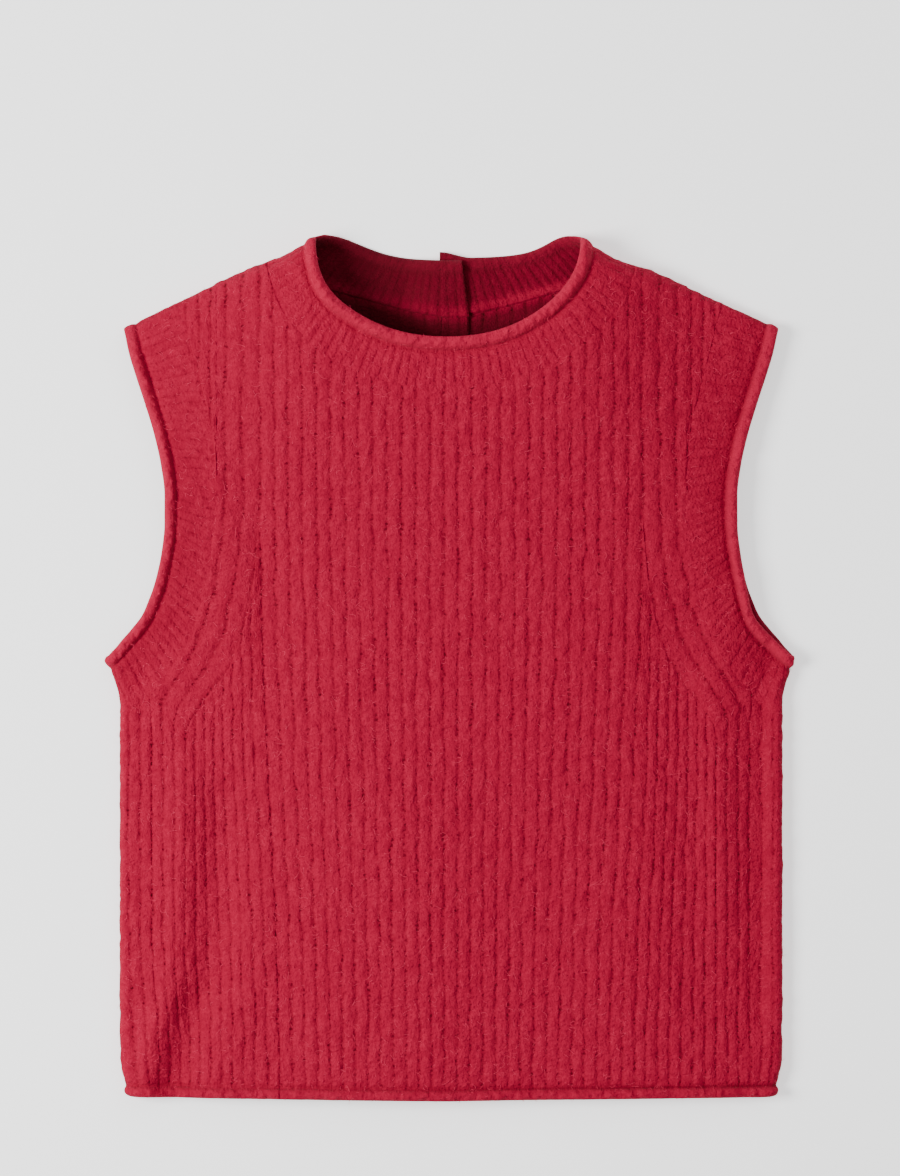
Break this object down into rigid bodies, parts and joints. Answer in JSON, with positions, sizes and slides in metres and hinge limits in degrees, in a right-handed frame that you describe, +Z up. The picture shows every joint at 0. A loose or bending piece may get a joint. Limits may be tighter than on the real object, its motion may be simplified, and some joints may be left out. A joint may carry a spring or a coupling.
{
  "type": "ribbed knit vest with buttoned back",
  "caption": "Sleeveless ribbed knit vest laid flat face up, with a crew neckband, armhole bands, rolled edges and a lapped buttoned back opening.",
  "frame": {"origin": "on the surface the garment lies on, under the middle of its bounding box", "axes": "+X across the garment, towards the wearer's left; +Y from the hem towards the neck; +Z up, out of the front"},
  "size_m": [0.4668, 0.5872, 0.0358],
  "materials": {
    "body_rib_knit": "soft brushed rib knit, slightly fuzzy",
    "band_rib_knit": "soft brushed fine rib knit, slightly fuzzy",
    "button": "satin"
  },
  "bodies": {
    "root": {"front_panel": "body_rib_knit", "back_panel_left": "body_rib_knit", "back_panel_right": "body_rib_knit", "neckband": "band_rib_knit", "armhole_band_left": "band_rib_knit", "armhole_band_right": "band_rib_knit", "button_band_left": "band_rib_knit", "button_band_right": "band_rib_knit", "button_1": "button", "button_2": "button", "button_3": "button", "button_4": "button", "button_5": "button", "button_6": "button", "button_7": "button"}
  },
  "joints": []
}
